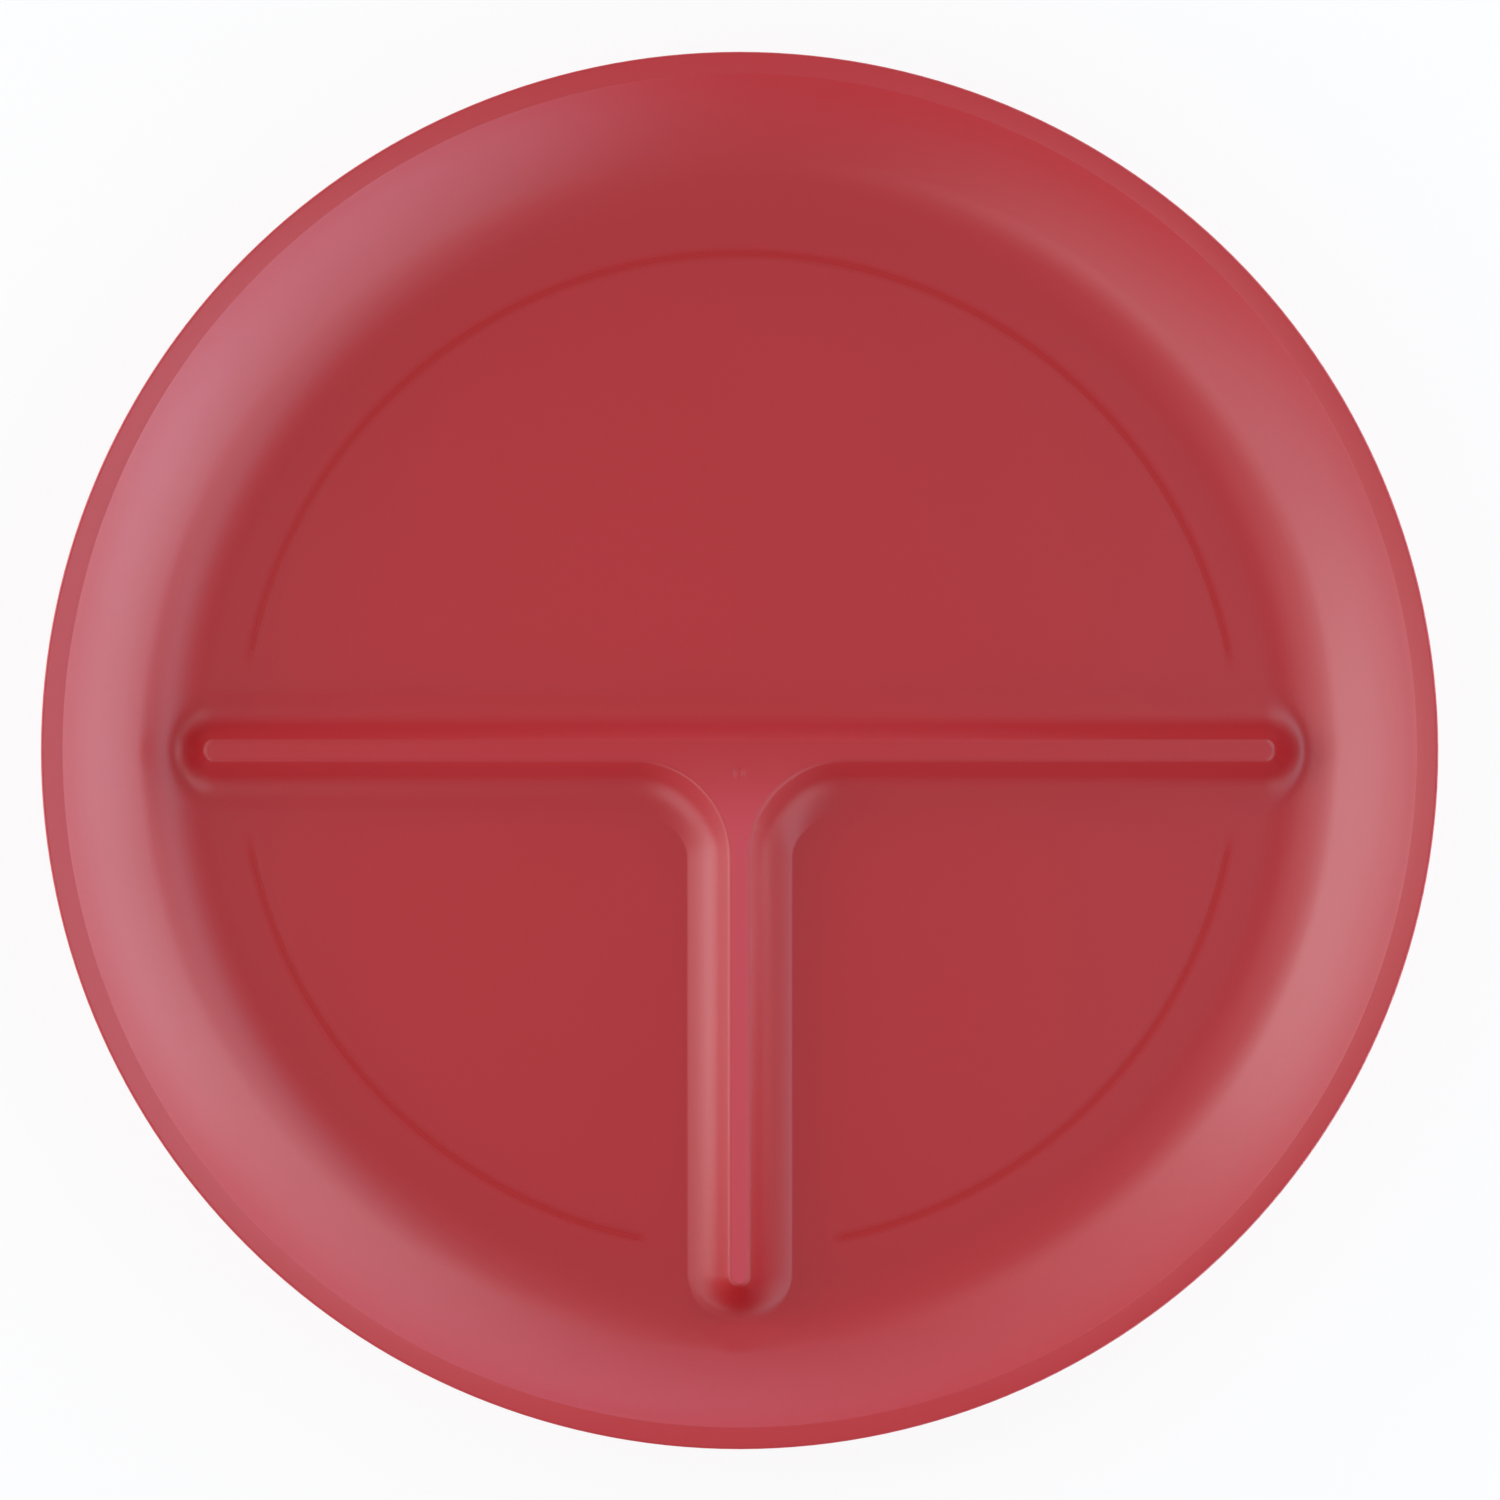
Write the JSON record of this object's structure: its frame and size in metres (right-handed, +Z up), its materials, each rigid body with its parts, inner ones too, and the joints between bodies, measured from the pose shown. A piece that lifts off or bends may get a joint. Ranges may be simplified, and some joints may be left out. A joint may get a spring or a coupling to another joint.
{
  "type": "portion plate",
  "caption": "Round moulded plastic plate with a dished border and a low T-shaped ridge that parts the inside into a large and two smaller compartments.",
  "frame": {"origin": "middle of the plate, on the surface that its foot ribs rest on", "axes": "+Z up out of the plate, +Y towards the large compartment, +X along the long divider to the right"},
  "size_m": [0.23, 0.23, 0.022],
  "materials": {
    "plate_plastic": "red, mass-coloured, fine matte moulded surface"
  },
  "bodies": {
    "root": {"well": "plate_plastic", "side_wall": "plate_plastic", "long_divider": "plate_plastic", "short_divider": "plate_plastic", "foot_rib_back": "plate_plastic", "foot_rib_left": "plate_plastic", "foot_rib_right": "plate_plastic"}
  },
  "joints": []
}
